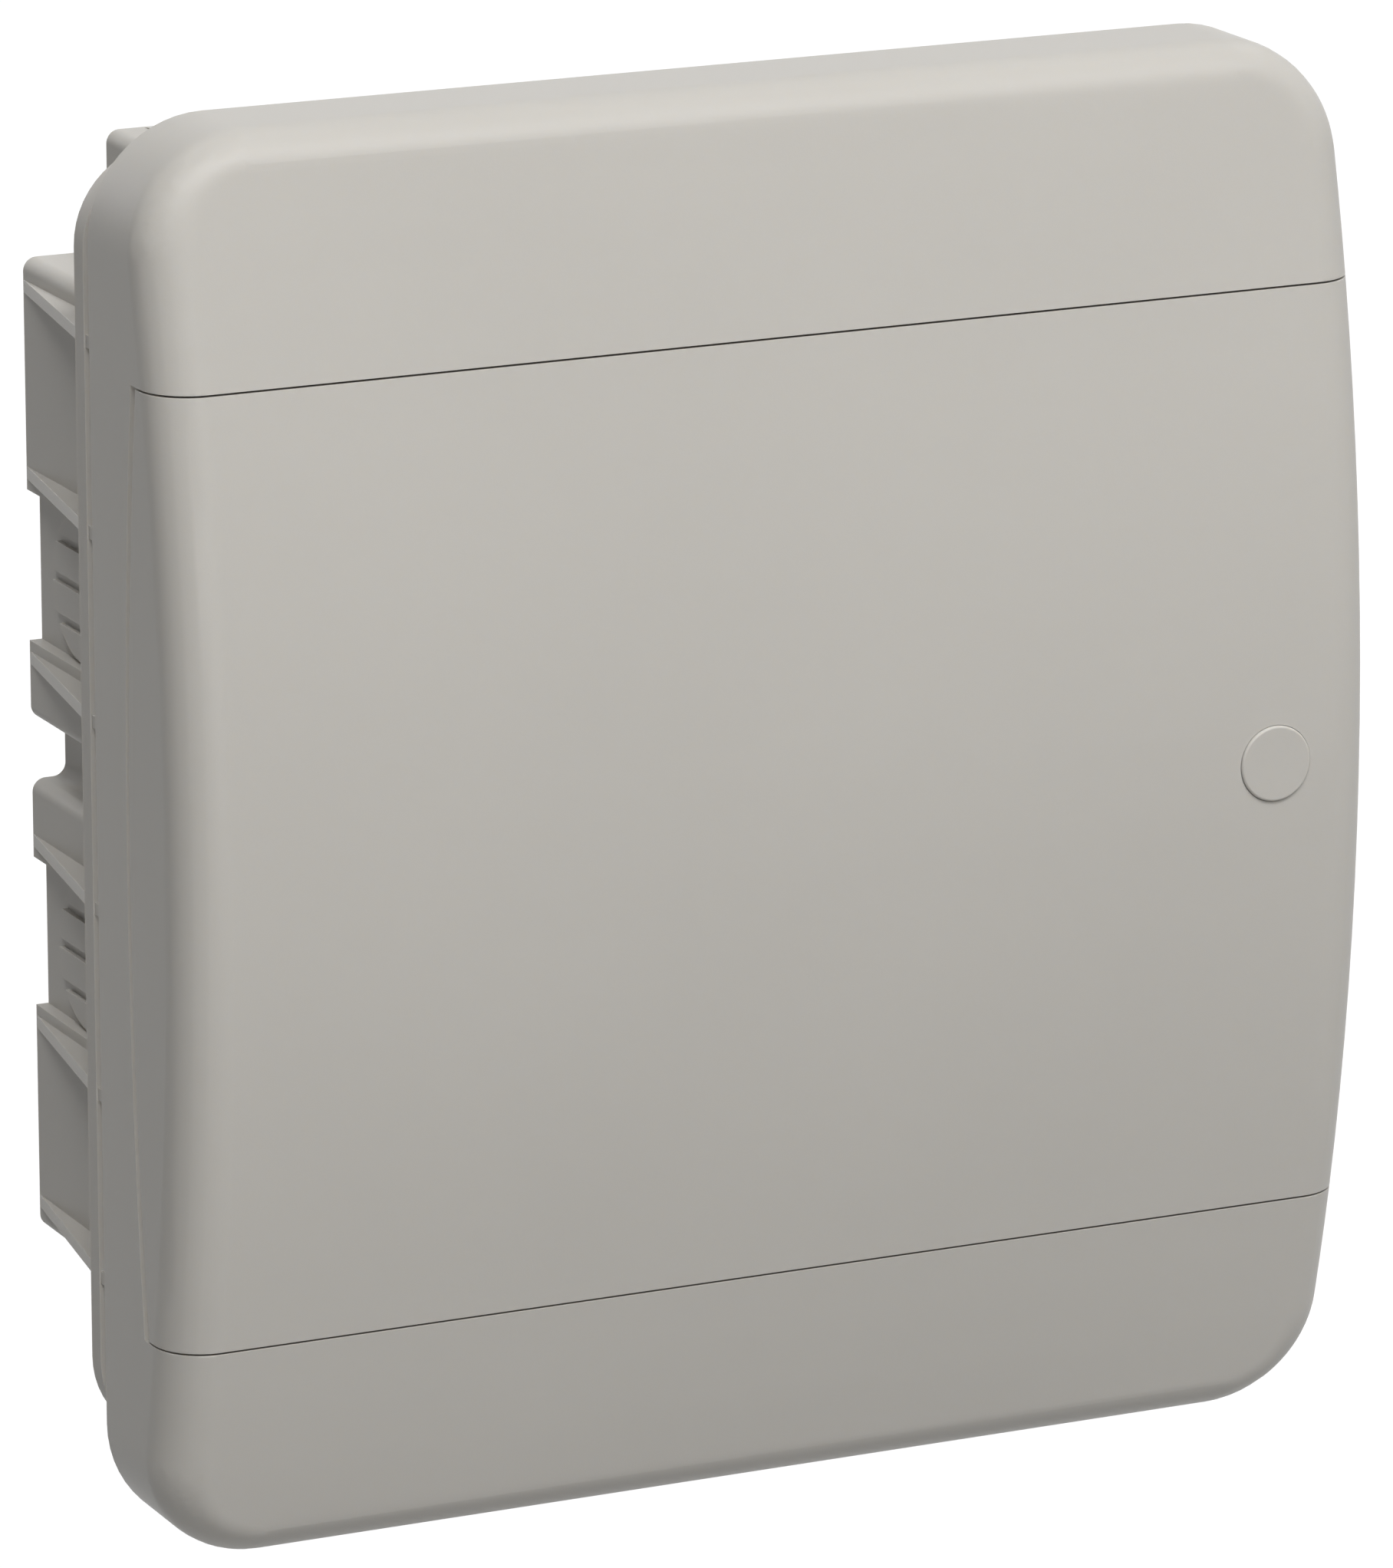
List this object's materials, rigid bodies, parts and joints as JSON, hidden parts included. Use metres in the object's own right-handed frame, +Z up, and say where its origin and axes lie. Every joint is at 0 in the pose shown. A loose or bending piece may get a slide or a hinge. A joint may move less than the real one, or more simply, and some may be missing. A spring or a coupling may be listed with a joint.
{
  "type": "flush-mount distribution board",
  "caption": "Flush-mount distribution board: stepped wall box, bowed cover frame, full-width hinged door with a push-button latch, device rail and terminal bars.",
  "frame": {"origin": "centre of the wall box's back face, in the middle of the four wall fixing holes", "axes": "+X to the right seen from the front, +Y into the wall, +Z up; the door faces -Y"},
  "size_m": [0.236, 0.0911, 0.26],
  "materials": {
    "box_plastic": "fine satin moulding",
    "cover_plastic": "satin moulding",
    "latch_plastic": "satin moulding",
    "spring_steel": "drawn wire",
    "zinc_steel": "bright zinc plate",
    "rail_steel": "galvanised sheet",
    "bar_brass": "drawn bar",
    "neutral_plastic": "satin moulding",
    "earth_plastic": "satin moulding"
  },
  "bodies": {
    "board": {"wall_box": "box_plastic", "cover_frame": "cover_plastic", "cover_screws": "zinc_steel", "din_rail": "rail_steel", "rail_screws": "zinc_steel", "support_screws": "zinc_steel", "neutral_bar": "bar_brass", "neutral_support_left": "neutral_plastic", "neutral_support_right": "neutral_plastic", "neutral_screws": "zinc_steel", "earth_bar": "bar_brass", "earth_support_left": "earth_plastic", "earth_support_right": "earth_plastic", "earth_screws": "zinc_steel"},
    "door": {"door": "cover_plastic", "latch_housing": "latch_plastic", "latch_screws": "zinc_steel", "latch_spring": "spring_steel"},
    "button": {"latch_button": "cover_plastic"},
    "bolt": {"latch_bolt": "latch_plastic"}
  },
  "joints": [
    {"name": "door_hinge", "type": "hinge", "parent": "board", "child": "door", "pos_m": [-0.1153, -0.074, -0.0045], "axis": [0, 0, -1], "range_deg": [0, 120]},
    {"name": "button_press", "type": "slide", "parent": "door", "child": "button", "axis": [0, 1, 0], "range_m": [0, 0.0035], "stiffness_N_per_m": 300, "springref_m": -0.004},
    {"name": "bolt_slide", "type": "slide", "parent": "door", "child": "bolt", "axis": [-1, 0, 0], "range_m": [0, 0.0035], "deforming": ["latch_spring"]}
  ],
  "couplings": [
    {"joint": "bolt_slide", "follows": "button_press", "ratio": 1}
  ]
}
